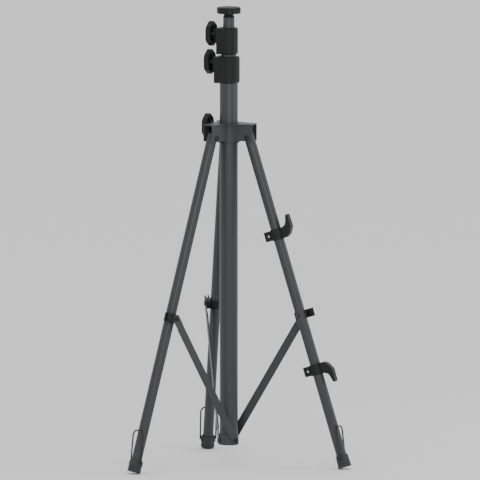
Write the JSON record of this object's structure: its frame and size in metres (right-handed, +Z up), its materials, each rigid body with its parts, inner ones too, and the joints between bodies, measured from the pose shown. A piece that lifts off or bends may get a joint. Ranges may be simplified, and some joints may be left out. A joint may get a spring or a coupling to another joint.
{
  "type": "telescopic tripod stand",
  "caption": "Free-standing folding tripod stand with braced tube legs, a sliding hub, a telescopic mast with star-knob clamps and cord hooks on one leg.",
  "frame": {"origin": "on the ground, at the middle of the box around the three feet; the mast's axis stands at x = -0.0593 m, y = 0", "axes": "+Z up along the mast; +X towards leg 1, which carries the cord hooks; the clamp knobs face -X"},
  "size_m": [0.3832, 0.4382, 0.8871],
  "materials": {
    "tube_paint": "satin dark slate-grey powder coat on steel tube and sheet",
    "hub_paint": "satin dark slate-grey powder coat on pressed steel",
    "collar_plastic": "black moulded nylon, fine spark-eroded texture",
    "knob_plastic": "black moulded plastic, ribbed rim",
    "hook_plastic": "black moulded plastic",
    "bush_plastic": "dark moulded nylon",
    "cap_rubber": "dark grey moulded rubber",
    "wire": "dark coated steel wire",
    "black_zinc": "black zinc plate on steel fasteners",
    "zinc": "bright zinc plate",
    "brass": "plain turned brass"
  },
  "bodies": {
    "mast": {"outer_tube": "tube_paint", "base_collar": "collar_plastic", "base_bolt_1": "black_zinc", "base_bolt_2": "black_zinc", "base_bolt_3": "black_zinc", "lower_collar": "collar_plastic"},
    "lower_pad": {"lower_clamp_pad": "brass"},
    "lower_knob": {"lower_clamp_knob": "knob_plastic", "lower_clamp_stud": "zinc"},
    "mid_slider": {"mid_bush": "bush_plastic"},
    "mid_section": {"mid_tube": "tube_paint", "upper_collar": "collar_plastic"},
    "upper_pad": {"upper_clamp_pad": "brass"},
    "upper_knob": {"upper_clamp_knob": "knob_plastic", "upper_clamp_stud": "zinc"},
    "top_slider": {"top_bush": "bush_plastic"},
    "top_section": {"top_tube": "tube_paint", "top_plug": "collar_plastic"},
    "top_washer": {"top_washer": "zinc"},
    "top_knob": {"top_knob": "knob_plastic", "top_stud": "zinc"},
    "hub": {"hub": "hub_paint", "hub_rivet_1": "black_zinc", "hub_rivet_2": "black_zinc", "hub_rivet_3": "black_zinc"},
    "hub_pad": {"hub_clamp_pad": "brass"},
    "hub_knob": {"hub_clamp_knob": "knob_plastic", "hub_clamp_stud": "zinc"},
    "brace_1": {"brace_1": "tube_paint"},
    "leg_1": {"leg_tube_1": "tube_paint", "leg_plug_1": "bush_plastic", "brace_clip_1": "collar_plastic", "brace_bolt_1": "black_zinc", "foot_cap_1": "cap_rubber", "cord_hook_upper": "hook_plastic", "cord_hook_lower": "hook_plastic"},
    "foot_loop_1": {"foot_loop_1": "wire"},
    "brace_2": {"brace_2": "tube_paint"},
    "leg_2": {"leg_tube_2": "tube_paint", "leg_plug_2": "bush_plastic", "brace_clip_2": "collar_plastic", "brace_bolt_2": "black_zinc", "foot_cap_2": "cap_rubber"},
    "foot_loop_2": {"foot_loop_2": "wire"},
    "brace_3": {"brace_3": "tube_paint"},
    "leg_3": {"leg_tube_3": "tube_paint", "leg_plug_3": "bush_plastic", "brace_clip_3": "collar_plastic", "brace_bolt_3": "black_zinc", "foot_cap_3": "cap_rubber"},
    "foot_loop_3": {"foot_loop_3": "wire"}
  },
  "joints": [
    {"name": "hub_slide", "type": "slide", "parent": "mast", "child": "hub", "axis": [0, 0, 1], "range_m": [0, 0.052]},
    {"name": "mid_slide", "type": "slide", "parent": "mast", "child": "mid_slider", "axis": [0, 0, 1], "range_m": [0, 0.6]},
    {"name": "mid_turn", "type": "hinge", "parent": "mid_slider", "child": "mid_section", "pos_m": [-0.05927, 0, 0.5], "axis": [0, 0, 1], "continuous": true},
    {"name": "top_slide", "type": "slide", "parent": "mid_section", "child": "top_slider", "axis": [0, 0, 1], "range_m": [0, 0.58]},
    {"name": "top_turn", "type": "hinge", "parent": "top_slider", "child": "top_section", "pos_m": [-0.05927, 0, 0.5], "axis": [0, 0, 1], "continuous": true},
    {"name": "lower_pad_slide", "type": "slide", "parent": "mast", "child": "lower_pad", "axis": [-1, 0, 0], "range_m": [0, 0.0025]},
    {"name": "lower_knob_turn", "type": "hinge", "parent": "lower_pad", "child": "lower_knob", "pos_m": [-0.08927, 0, 0.78], "axis": [-1, 0, 0], "range_deg": [-2, 724]},
    {"name": "upper_pad_slide", "type": "slide", "parent": "mid_section", "child": "upper_pad", "axis": [-1, 0, 0], "range_m": [0, 0.0025]},
    {"name": "upper_knob_turn", "type": "hinge", "parent": "upper_pad", "child": "upper_knob", "pos_m": [-0.08927, 0, 0.8345], "axis": [-1, 0, 0], "range_deg": [-2, 724]},
    {"name": "hub_pad_slide", "type": "slide", "parent": "hub", "child": "hub_pad", "axis": [-1, 0, 0], "range_m": [0, 0.0025]},
    {"name": "hub_knob_turn", "type": "hinge", "parent": "hub_pad", "child": "hub_knob", "pos_m": [-0.08927, 0, 0.6554], "axis": [-1, 0, 0], "range_deg": [-2, 724]},
    {"name": "top_washer_slide", "type": "slide", "parent": "top_section", "child": "top_washer", "axis": [0, 0, 1], "range_m": [0, 0.005]},
    {"name": "top_knob_turn", "type": "hinge", "parent": "top_washer", "child": "top_knob", "pos_m": [-0.05927, 0, 0.87], "axis": [0, 0, 1], "range_deg": [-2, 1444]},
    {"name": "brace_pivot_1", "type": "hinge", "parent": "mast", "child": "brace_1", "pos_m": [-0.05927, 0, 0.0463], "axis": [0, 1, 0], "range_deg": [-20.8, 0.1]},
    {"name": "leg_pivot_1", "type": "hinge", "parent": "brace_1", "child": "leg_1", "pos_m": [0.0886, 0, 0.29506], "axis": [0, 1, 0], "range_deg": [-0.1, 36.6]},
    {"name": "foot_loop_hinge_1", "type": "hinge", "parent": "leg_1", "child": "foot_loop_1", "pos_m": [0.1741, 0, 0.0197], "axis": [0, 1, 0], "range_deg": [0, 105]},
    {"name": "brace_pivot_2", "type": "hinge", "parent": "mast", "child": "brace_2", "pos_m": [-0.05927, 0, 0.0463], "axis": [-0.866, -0.5, 0], "range_deg": [-20.8, 0.1]},
    {"name": "leg_pivot_2", "type": "hinge", "parent": "brace_2", "child": "leg_2", "pos_m": [-0.1332, 0.12806, 0.29506], "axis": [-0.866, -0.5, 0], "range_deg": [-0.1, 36.6]},
    {"name": "foot_loop_hinge_2", "type": "hinge", "parent": "leg_2", "child": "foot_loop_2", "pos_m": [-0.17595, 0.2021, 0.0197], "axis": [-0.866, -0.5, 0], "range_deg": [0, 105]},
    {"name": "brace_pivot_3", "type": "hinge", "parent": "mast", "child": "brace_3", "pos_m": [-0.05927, 0, 0.0463], "axis": [0.866, -0.5, 0], "range_deg": [-20.8, 0.1]},
    {"name": "leg_pivot_3", "type": "hinge", "parent": "brace_3", "child": "leg_3", "pos_m": [-0.1332, -0.12806, 0.29506], "axis": [0.866, -0.5, 0], "range_deg": [-0.1, 36.6]},
    {"name": "foot_loop_hinge_3", "type": "hinge", "parent": "leg_3", "child": "foot_loop_3", "pos_m": [-0.17595, -0.2021, 0.0197], "axis": [0.866, -0.5, 0], "range_deg": [0, 105]}
  ],
  "couplings": [
    {"joint": "lower_knob_turn", "follows": "lower_pad_slide", "rad_per_m": 5026.5},
    {"joint": "upper_knob_turn", "follows": "upper_pad_slide", "rad_per_m": 5026.5},
    {"joint": "hub_knob_turn", "follows": "hub_pad_slide", "rad_per_m": 5026.5},
    {"joint": "top_knob_turn", "follows": "top_washer_slide", "rad_per_m": 5026.5},
    {"joint": "brace_pivot_1", "follows": "hub_slide", "rad_per_m": -6.8869},
    {"joint": "leg_pivot_1", "follows": "hub_slide", "rad_per_m": 12.176},
    {"joint": "brace_pivot_2", "follows": "hub_slide", "rad_per_m": -6.8869},
    {"joint": "leg_pivot_2", "follows": "hub_slide", "rad_per_m": 12.176},
    {"joint": "brace_pivot_3", "follows": "hub_slide", "rad_per_m": -6.8869},
    {"joint": "leg_pivot_3", "follows": "hub_slide", "rad_per_m": 12.176}
  ]
}
